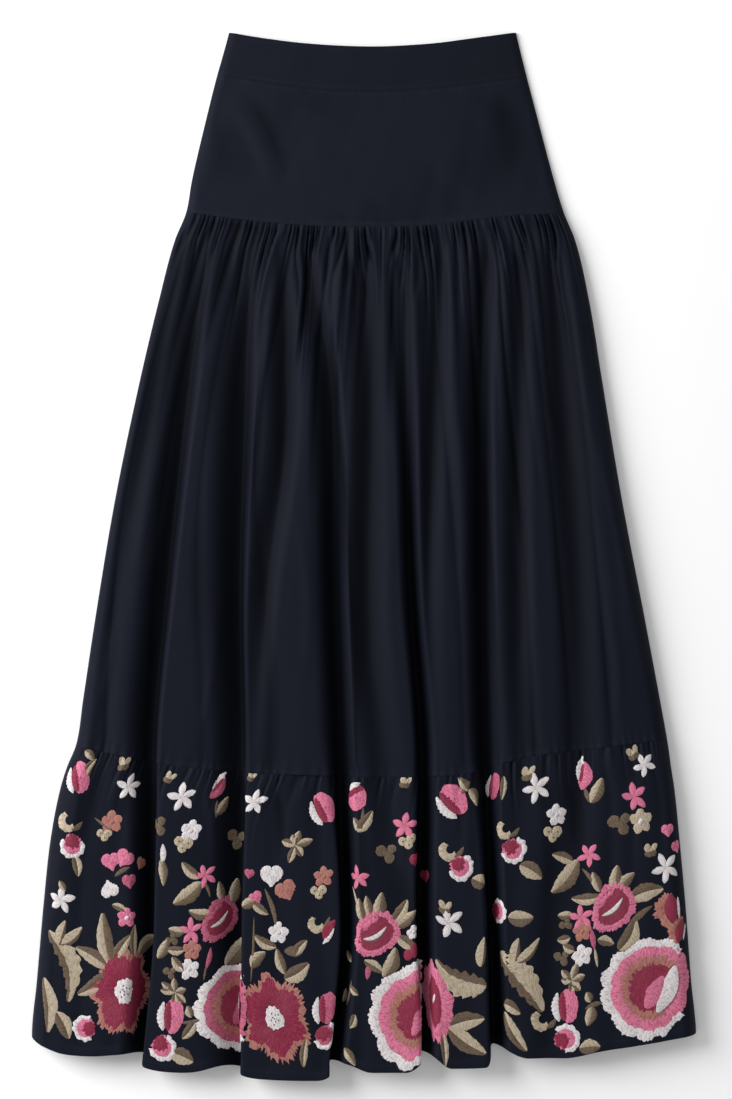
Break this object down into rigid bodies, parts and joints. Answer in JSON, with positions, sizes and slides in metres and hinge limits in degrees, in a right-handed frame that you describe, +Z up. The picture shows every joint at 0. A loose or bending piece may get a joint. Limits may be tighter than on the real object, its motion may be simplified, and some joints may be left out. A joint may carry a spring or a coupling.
{
  "type": "maxi skirt",
  "caption": "Long tiered skirt laid flat, with a contoured waistband, a smooth yoke, a long gathered tier and a gathered, flower-embroidered hem tier.",
  "frame": {"origin": "centre of the laid skirt's bounding box, on the surface it lies on", "axes": "+Y towards the waist, -Y towards the hem, +X to the right of the picture, +Z up from the surface, the front panels on top"},
  "size_m": [0.6639, 1.0436, 0.0268],
  "materials": {
    "waistband": "near-black navy cotton poplin, two layers with interfacing, matte",
    "poplin": "near-black navy cotton poplin, matte with a faint sheen",
    "embroidered_poplin": "the same poplin under raised flower embroidery in white, cream, pink, crimson, tan and olive thread"
  },
  "bodies": {
    "root": {"waistband_front": "waistband", "waistband_back": "waistband", "yoke_front": "poplin", "yoke_back": "poplin", "middle_tier_front": "poplin", "middle_tier_back": "poplin", "hem_tier_front_left": "embroidered_poplin", "hem_tier_front_centre": "embroidered_poplin", "hem_tier_front_right": "embroidered_poplin", "hem_tier_back": "embroidered_poplin"}
  },
  "joints": []
}
